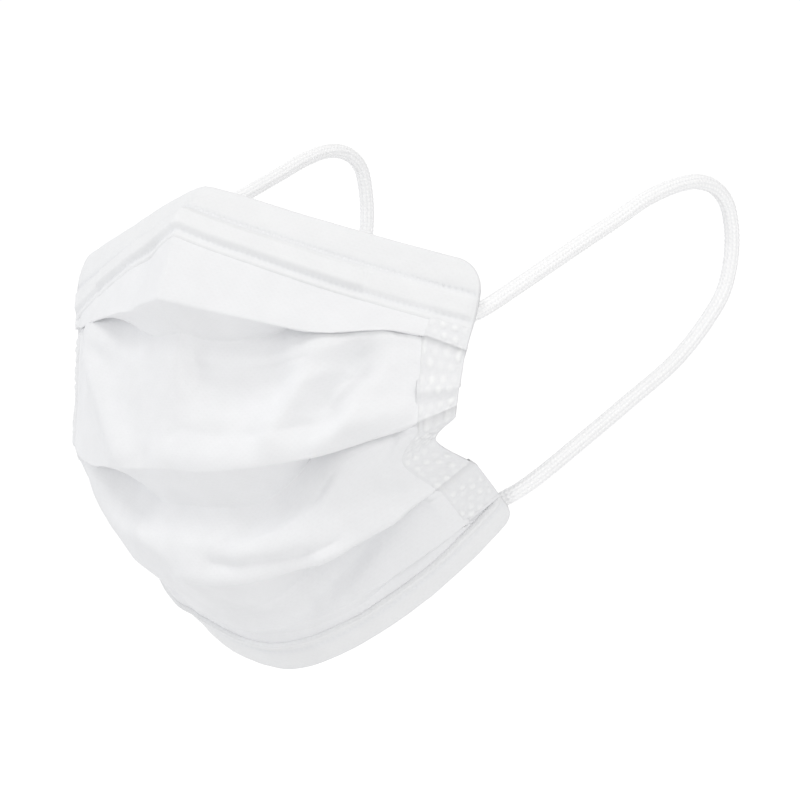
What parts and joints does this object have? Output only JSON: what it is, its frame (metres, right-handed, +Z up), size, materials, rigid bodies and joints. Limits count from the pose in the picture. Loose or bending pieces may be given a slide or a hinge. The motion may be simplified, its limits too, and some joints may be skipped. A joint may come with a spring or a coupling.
{
  "type": "surgical face mask",
  "caption": "Pleated surgical face mask in its worn form, with a wired top hem, welded side strips and elastic ear loops.",
  "frame": {"origin": "middle of the sheet at the middle of the top edge, where the mask sits on the bridge of the nose", "axes": "+X to the wearer's left, +Y back towards the ears, +Z up"},
  "size_m": [0.1522, 0.1515, 0.1399],
  "materials": {
    "sheet": "matt white nonwoven",
    "hem": "matt white nonwoven, folded and welded",
    "strip": "white nonwoven pressed flat by dot welds",
    "wire": "plastic-sheathed soft wire",
    "loop": "white knitted elastic"
  },
  "bodies": {
    "root": {"mask_panel": "sheet", "top_hem": "hem", "nose_wire": "wire", "bottom_hem": "hem", "side_strip_left": "strip", "side_strip_right": "strip", "ear_loop_left": "loop", "ear_loop_right": "loop"}
  },
  "joints": []
}
